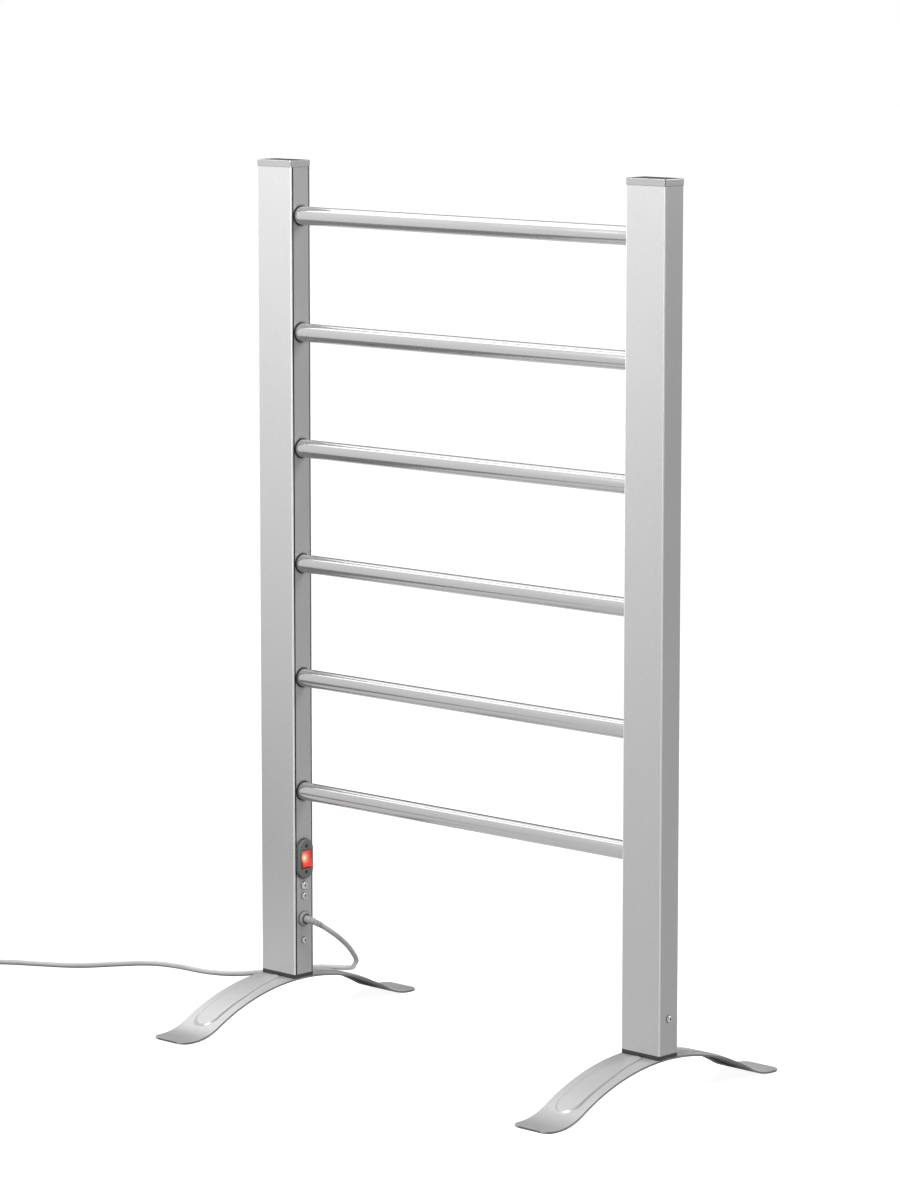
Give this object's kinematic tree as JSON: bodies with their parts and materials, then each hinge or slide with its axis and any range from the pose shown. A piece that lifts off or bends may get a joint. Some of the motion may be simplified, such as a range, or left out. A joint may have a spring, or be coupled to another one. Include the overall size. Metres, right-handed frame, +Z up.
{
  "type": "towel warmer",
  "caption": "Free-standing heated towel rack: rectangular posts on arched feet, joined by round heated bars, with a lit rocker switch and a mains cord.",
  "frame": {"origin": "on the floor, at the middle of the rack between its feet", "axes": "+Z up, +X along the bars away from the post with the switch, +Y towards the back"},
  "size_m": [0.9956, 0.3887, 0.92],
  "materials": {
    "post_satin": "satin silver, fine grain",
    "plate_satin": "satin silver, fine grain",
    "bar_satin": "satin silver, drawn along its length",
    "foot_satin": "satin silver paint on pressed sheet",
    "cap_metal": "smooth bright metal",
    "base_rubber": "dark, matt",
    "grommet_plastic": "dark, matt",
    "screw_steel": "plated steel",
    "block_metal": "as cast",
    "clip_steel": "spring steel",
    "heater_sheath": "silicone sheath",
    "end_plug_silicone": "silicone",
    "wire_sheath": "heat-proof sleeve",
    "cutout_metal": "plated can",
    "bezel_plastic": "fine texture",
    "rocker_red": "clear red, lit from behind",
    "plunger_metal": "polished pin",
    "contact_copper": "bright",
    "switch_plastic": "dark, matt",
    "lamp_glass": "small neon lamp",
    "gland_plastic": "light grey",
    "relief_rubber": "light grey, matt",
    "cord_sheath": "light grey, slight sheen",
    "clamp_plastic": "natural nylon",
    "terminal_plastic": "natural nylon",
    "lead_insulation": "insulated leads",
    "plug_rubber": "light grey, moulded",
    "plug_brass": "plated"
  },
  "bodies": {
    "rack": {"left_post_channel": "post_satin", "left_inner_plate": "plate_satin", "left_top_cap": "cap_metal", "left_foot": "foot_satin", "left_base_gasket": "base_rubber", "left_base_block": "block_metal", "left_foot_bolts": "screw_steel", "left_base_screws": "screw_steel", "left_bar_grommets": "grommet_plastic", "left_bar_clips": "clip_steel", "left_bar_end_plugs": "end_plug_silicone", "left_wire_links": "wire_sheath", "right_post_channel": "post_satin", "right_inner_plate": "plate_satin", "right_top_cap": "cap_metal", "right_foot": "foot_satin", "right_base_gasket": "base_rubber", "right_base_block": "block_metal", "right_foot_bolts": "screw_steel", "right_base_screws": "screw_steel", "right_bar_grommets": "grommet_plastic", "right_bar_clips": "clip_steel", "right_bar_end_plugs": "end_plug_silicone", "right_wire_links": "wire_sheath", "bar_1": "bar_satin", "heating_wire_1": "heater_sheath", "bar_2": "bar_satin", "heating_wire_2": "heater_sheath", "bar_3": "bar_satin", "heating_wire_3": "heater_sheath", "bar_4": "bar_satin", "heating_wire_4": "heater_sheath", "bar_5": "bar_satin", "heating_wire_5": "heater_sheath", "bar_6": "bar_satin", "heating_wire_6": "heater_sheath", "feed_wire": "wire_sheath", "return_wires": "wire_sheath", "thermal_cutout": "cutout_metal", "switch_bezel": "bezel_plastic", "bezel_screws": "screw_steel", "switch_body": "switch_plastic", "switch_tabs": "contact_copper", "switch_lamp": "lamp_glass", "earth_screw": "screw_steel", "clamp_screw": "screw_steel", "cord_gland": "gland_plastic", "cord_relief": "relief_rubber", "cord_tail": "cord_sheath", "cord_clamp": "clamp_plastic", "terminal_block": "terminal_plastic", "lead_wires": "lead_insulation", "power_cord": "cord_sheath", "cord_coil": "cord_sheath", "plug_body": "plug_rubber", "plug_pins": "plug_brass"},
    "rocker": {"switch_rocker": "rocker_red", "switch_plunger": "plunger_metal"},
    "contact_lever": {"contact_lever": "contact_copper"}
  },
  "joints": [
    {"name": "rocker_tilt", "type": "hinge", "parent": "rack", "child": "rocker", "pos_m": [-0.2325, 0, 0.1743], "axis": [0, 1, 0], "range_deg": [0, 20]},
    {"name": "contact_tilt", "type": "hinge", "parent": "rack", "child": "contact_lever", "pos_m": [-0.248, 0, 0.1743], "axis": [0, 1, 0], "range_deg": [-12, 0]}
  ],
  "couplings": [
    {"joint": "contact_tilt", "follows": "rocker_tilt", "ratio": -0.6}
  ]
}
